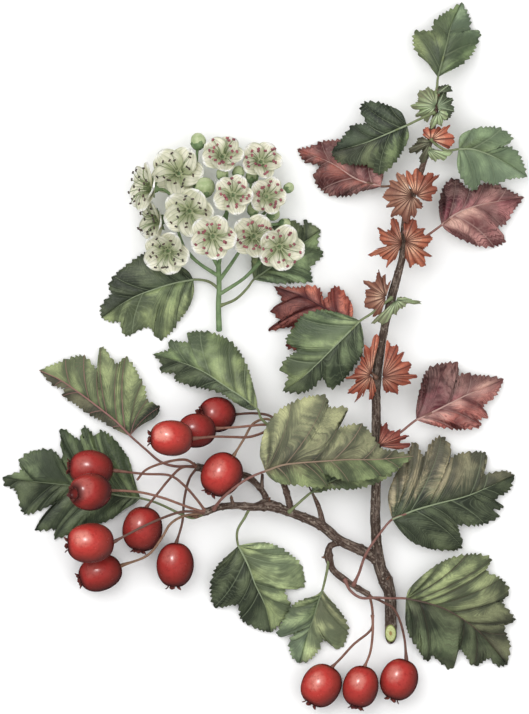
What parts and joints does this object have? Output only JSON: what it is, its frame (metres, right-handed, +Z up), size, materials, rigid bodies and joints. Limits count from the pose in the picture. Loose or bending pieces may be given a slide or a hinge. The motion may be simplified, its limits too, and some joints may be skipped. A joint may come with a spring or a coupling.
{
  "type": "hawthorn cutting",
  "caption": "Cut hawthorn branch lying flat, with lobed green and red leaves, toothed bracts and red haws on thin stalks, and a leafy sprig of white blossom beside it.",
  "frame": {"origin": "middle of the underside of the box round both cuttings, on the surface they lie on", "axes": "+Y along the branch from its cut end to its tip, +Z up from the surface, +X to the right of the branch seen from above"},
  "size_m": [0.1578, 0.2132, 0.0274],
  "materials": {
    "bark": "rough grey-brown bark with a pale green slanting cut face",
    "haw_stalk": "matt reddish-brown fruit stalk",
    "haw_skin": "glossy waxy red fruit skin",
    "green_stalk": "matt green flower stalk and buds",
    "petal": "soft cream-white petal",
    "leaf_green": "leathery green leaf with a low waxy sheen",
    "leaf_red": "crimson autumn leaf with a low sheen",
    "leaf_pale": "olive leaf seen from its matt underside"
  },
  "bodies": {
    "root": {"main_stem": "bark", "side_bough": "bark", "thorn": "bark", "mid_spur": "bark", "left_spur": "bark", "loop_spur": "bark", "stalks_foot": "haw_stalk", "stalks_bough_tip": "haw_stalk", "stalks_left_spur": "haw_stalk", "stalks_mid_spur": "haw_stalk", "haw_1": "haw_skin", "haw_2": "haw_skin", "haw_3": "haw_skin", "haw_4": "haw_skin", "haw_5": "haw_skin", "haw_6": "haw_skin", "haw_7": "haw_skin", "haw_8": "haw_skin", "haw_9": "haw_skin", "haw_10": "haw_skin", "haw_11": "haw_skin", "haw_12": "haw_skin", "haw_13": "haw_skin", "flower_stalk": "green_stalk", "flower_1": "petal", "flower_2": "petal", "flower_3": "petal", "flower_4": "petal", "flower_5": "petal", "flower_6": "petal", "flower_7": "petal", "flower_8": "petal", "flower_9": "petal", "flower_10": "petal", "flower_11": "petal", "flower_12": "petal", "leaf_big_underside": "leaf_pale", "leaf_centre_left": "leaf_green", "leaf_dark_right": "leaf_green", "leaf_far_left": "leaf_green", "leaf_flower_left": "leaf_green", "leaf_flower_right": "leaf_green", "leaf_foot_centre": "leaf_green", "leaf_foot_left": "leaf_green", "leaf_foot_right": "leaf_green", "leaf_green_left": "leaf_green", "leaf_pale_left": "leaf_pale", "leaf_red_left": "leaf_red", "leaf_red_lower": "leaf_red", "leaf_red_right": "leaf_red", "leaf_red_under": "leaf_red", "leaf_top": "leaf_green", "leaf_under_big": "leaf_green", "leaf_upper_left": "leaf_green", "leaf_upper_right": "leaf_green"}
  },
  "joints": []
}
